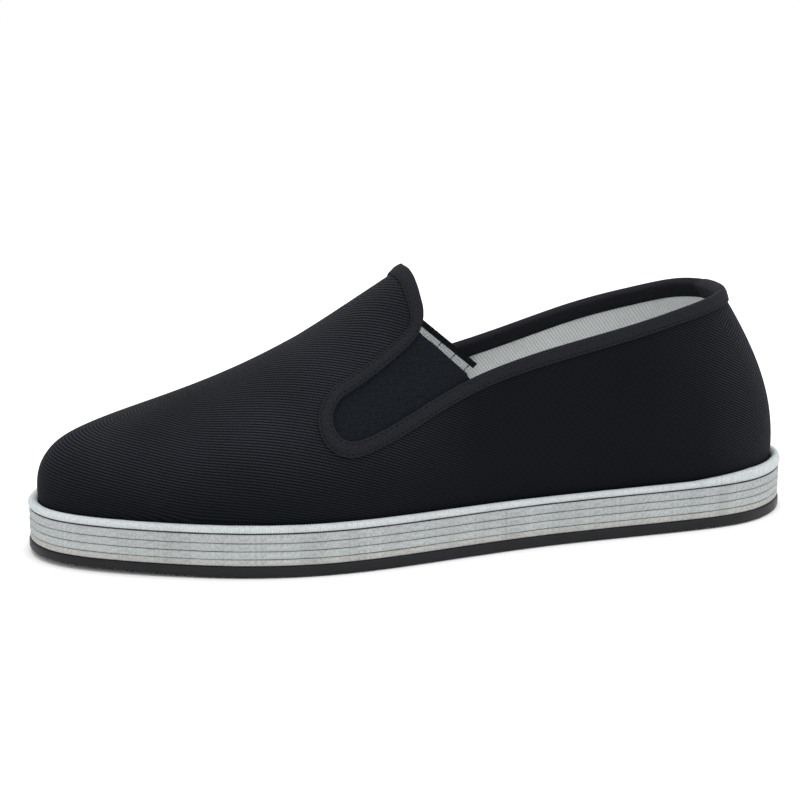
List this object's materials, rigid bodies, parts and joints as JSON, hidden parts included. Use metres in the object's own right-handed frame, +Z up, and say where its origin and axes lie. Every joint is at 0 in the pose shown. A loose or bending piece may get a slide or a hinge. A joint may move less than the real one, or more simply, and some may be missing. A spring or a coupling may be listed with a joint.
{
  "type": "cloth slip-on shoe",
  "caption": "Left black cloth slip-on shoe with elastic side gores, a bound topline and a thick sole of stitched white cloth layers on dark rubber.",
  "frame": {"origin": "centre of the outline of the sole, on the floor", "axes": "-Y from heel to toe, +X towards the outer side of the left foot, +Z up"},
  "size_m": [0.1048, 0.286, 0.0968],
  "materials": {
    "outsole_rubber": "satin black rubber",
    "white_cotton": "matt white woven cotton",
    "black_canvas": "matt black twill",
    "black_tape": "matt black woven tape",
    "black_elastic": "matt black knitted elastic",
    "grey_lining": "matt light grey twill"
  },
  "bodies": {
    "root": {"outsole": "outsole_rubber", "cloth_layer_1": "white_cotton", "cloth_layer_2": "white_cotton", "cloth_layer_3": "white_cotton", "cloth_layer_4": "white_cotton", "welt_piping": "white_cotton", "insole": "grey_lining", "upper": "black_canvas", "gore_lateral": "black_elastic", "gore_medial": "black_elastic", "topline_binding": "black_tape"}
  },
  "joints": []
}
